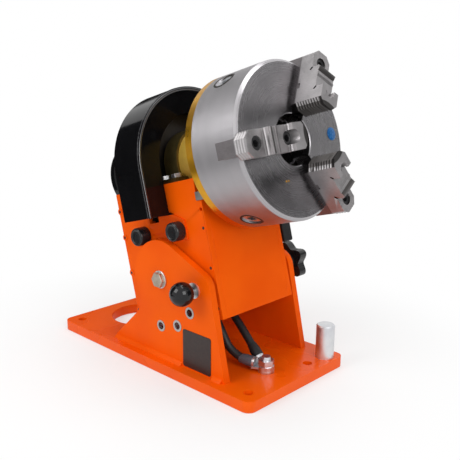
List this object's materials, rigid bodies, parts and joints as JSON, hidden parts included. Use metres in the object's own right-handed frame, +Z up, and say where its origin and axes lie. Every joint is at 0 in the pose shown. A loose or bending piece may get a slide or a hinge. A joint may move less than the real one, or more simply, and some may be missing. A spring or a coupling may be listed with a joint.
{
  "type": "welding positioner",
  "caption": "Bench welding positioner: tilting head on a welded base, hollow geared spindle with guard, and a self-centring chuck with stepped jaws.",
  "frame": {"origin": "centre of the underside of the base plate", "axes": "+X towards the chuck end, +Z up, the plate with the locking plunger on the -Y side"},
  "size_m": [0.4372, 0.242, 0.4289],
  "materials": {
    "orange paint": "gloss",
    "gold zinc": "satin",
    "black paint": "gloss",
    "black plastic": "gloss",
    "ground steel": "brushed",
    "zinc": "satin",
    "cable rubber": "matte",
    "motor grey": "satin",
    "blackened steel": "satin",
    "copper alloy": "satin"
  },
  "bodies": {
    "base": {"base_plate": "orange paint", "side_plate_near": "orange paint", "side_plate_far": "orange paint", "ground_post": "zinc", "index_bushes": "zinc", "plunger_sleeve": "zinc", "pivot_bolt": "zinc", "pivot_nut_and_washers": "zinc", "name_plate": "black paint", "earth_stud": "zinc", "cable_lugs": "copper alloy", "cable_front": "cable rubber", "cable_rear": "cable rubber", "cable_clip": "zinc"},
    "head": {"head_wall_near": "orange paint", "head_wall_far": "orange paint", "front_panel": "orange paint", "rear_panel": "orange paint", "saddle_front": "gold zinc", "saddle_rear": "gold zinc", "bearing_cartridge": "gold zinc", "bearing_strap": "gold zinc", "strap_bolts": "zinc", "bearings": "ground steel", "gear_guard": "black paint", "guard_back": "black paint", "motor_plate": "gold zinc", "gearbox": "motor grey", "motor": "motor grey", "brush_holder": "zinc", "contact_brush": "copper alloy", "panel_screws": "orange paint", "pivot_bushes": "copper alloy", "control_box": "black plastic"},
    "spindle": {"spindle": "ground steel", "drive_gear": "ground steel", "backplate": "gold zinc", "backplate_bolts": "zinc", "chuck_body": "ground steel", "chuck_cover": "ground steel", "rear_collar": "black paint"},
    "pinion": {"drive_pinion": "ground steel"},
    "scroll": {"scroll": "ground steel"},
    "plunger": {"plunger_pin": "ground steel", "ball_knob": "black plastic"},
    "clamp": {"clamp_knob": "black plastic"},
    "rear knob": {"guard_knob_rear": "black plastic"},
    "front knob": {"guard_knob_front": "black plastic"},
    "jaw 1": {"base_jaw_1": "ground steel", "top_jaw_1": "ground steel", "jaw_screws_1": "blackened steel"},
    "key 1": {"key_pinion_1": "zinc"},
    "jaw 2": {"base_jaw_2": "ground steel", "top_jaw_2": "ground steel", "jaw_screws_2": "blackened steel"},
    "key 2": {"key_pinion_2": "zinc"},
    "jaw 3": {"base_jaw_3": "ground steel", "top_jaw_3": "ground steel", "jaw_screws_3": "blackened steel"},
    "key 3": {"key_pinion_3": "zinc"}
  },
  "joints": [
    {"name": "head_tilt", "type": "hinge", "parent": "base", "child": "head", "pos_m": [0.021, 0, 0.128], "axis": [0, -1, 0], "range_deg": [-15, 75]},
    {"name": "spindle_spin", "type": "hinge", "parent": "head", "child": "spindle", "pos_m": [-0.01723, 0, 0.27067], "axis": [0.9659, 0, 0.2588], "continuous": true},
    {"name": "pinion_spin", "type": "hinge", "parent": "head", "child": "pinion", "pos_m": [0.01072, 0, 0.16635], "axis": [0.9659, 0, 0.2588], "continuous": true},
    {"name": "scroll_turn", "type": "hinge", "parent": "spindle", "child": "scroll", "pos_m": [-0.01723, 0, 0.27067], "axis": [0.9659, 0, 0.2588], "range_deg": [0, 1080]},
    {"name": "plunger_slide", "type": "slide", "parent": "base", "child": "plunger", "axis": [0, 1, 0], "range_m": [0, 0.006]},
    {"name": "clamp_turn", "type": "hinge", "parent": "base", "child": "clamp", "pos_m": [0.088, 0, 0.128], "axis": [0, 1, 0], "range_deg": [-180, 180]},
    {"name": "rear_knob_turn", "type": "hinge", "parent": "head", "child": "rear knob", "pos_m": [-0.02618, 0, 0.17851], "axis": [0, -1, 0], "range_deg": [-180, 180]},
    {"name": "front_knob_turn", "type": "hinge", "parent": "head", "child": "front knob", "pos_m": [0.04771, 0, 0.19831], "axis": [0, -1, 0], "range_deg": [-180, 180]},
    {"name": "jaw_1_slide", "type": "slide", "parent": "spindle", "child": "jaw 1", "axis": [-0.0059, 0.9997, 0.0219], "range_m": [0, 0.027]},
    {"name": "key_1_turn", "type": "hinge", "parent": "spindle", "child": "key 1", "pos_m": [0.15118, -0.04322, 0.23407], "axis": [0.227, -0.4802, -0.8473], "range_deg": [-5401, 5401]},
    {"name": "jaw_2_slide", "type": "slide", "parent": "spindle", "child": "jaw 2", "axis": [0.227, -0.4802, -0.8473], "range_m": [0, 0.027]},
    {"name": "key_2_turn", "type": "hinge", "parent": "spindle", "child": "key 2", "pos_m": [0.13022, 0.08998, 0.31229], "axis": [-0.0059, 0.9997, 0.0219], "range_deg": [-5401, 5401]},
    {"name": "jaw_3_slide", "type": "slide", "parent": "spindle", "child": "jaw 3", "axis": [-0.2212, -0.5195, 0.8253], "range_m": [0, 0.027]},
    {"name": "key_3_turn", "type": "hinge", "parent": "spindle", "child": "key 3", "pos_m": [0.11085, -0.04676, 0.3846], "axis": [-0.2212, -0.5195, 0.8253], "range_deg": [-5401, 5401]}
  ],
  "couplings": [
    {"joint": "pinion_spin", "follows": "spindle_spin", "ratio": -8},
    {"joint": "jaw_1_slide", "follows": "scroll_turn", "m_per_rad": 0.0014324},
    {"joint": "key_1_turn", "follows": "scroll_turn", "ratio": 5},
    {"joint": "jaw_2_slide", "follows": "scroll_turn", "m_per_rad": 0.0014324},
    {"joint": "key_2_turn", "follows": "scroll_turn", "ratio": 5},
    {"joint": "jaw_3_slide", "follows": "scroll_turn", "m_per_rad": 0.0014324},
    {"joint": "key_3_turn", "follows": "scroll_turn", "ratio": 5}
  ]
}
